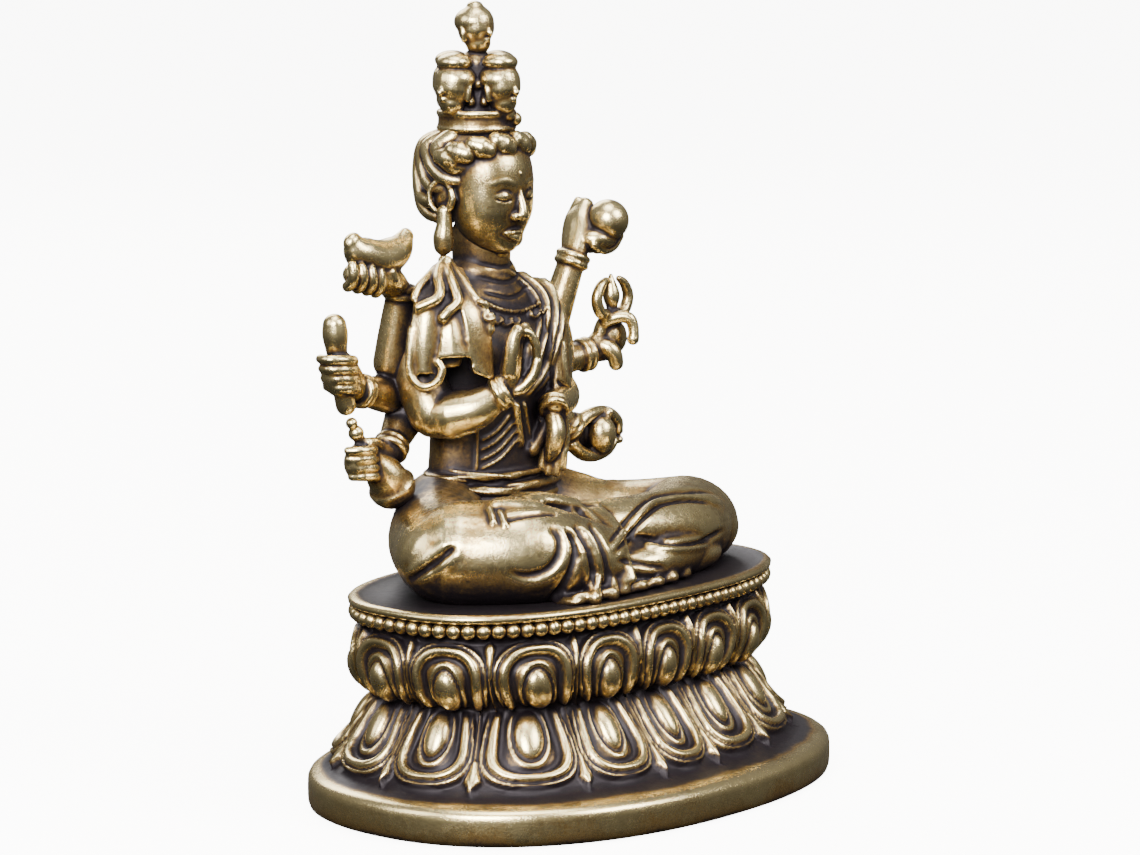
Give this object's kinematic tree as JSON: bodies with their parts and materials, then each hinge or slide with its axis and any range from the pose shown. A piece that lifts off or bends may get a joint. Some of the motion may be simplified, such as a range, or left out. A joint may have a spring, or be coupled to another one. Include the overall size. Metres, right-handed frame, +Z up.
{
  "type": "seated bodhisattva statue",
  "caption": "Cast brass many-armed bodhisattva seated cross-legged on a double lotus pedestal with a beaded rim and an oval foot plate, crowned by a tier of small heads.",
  "frame": {"origin": "middle of the oval foot plate, on its flat underside", "axes": "+Z up through the crown, the figure faces -Y, its left hand side is +X"},
  "size_m": [0.068, 0.0488, 0.0899],
  "materials": {
    "aged_cast_brass": "cast, dark patina in the hollows, rubbed bright on the high parts"
  },
  "bodies": {
    "root": {"bodhisattva_statue": "aged_cast_brass"}
  },
  "joints": []
}
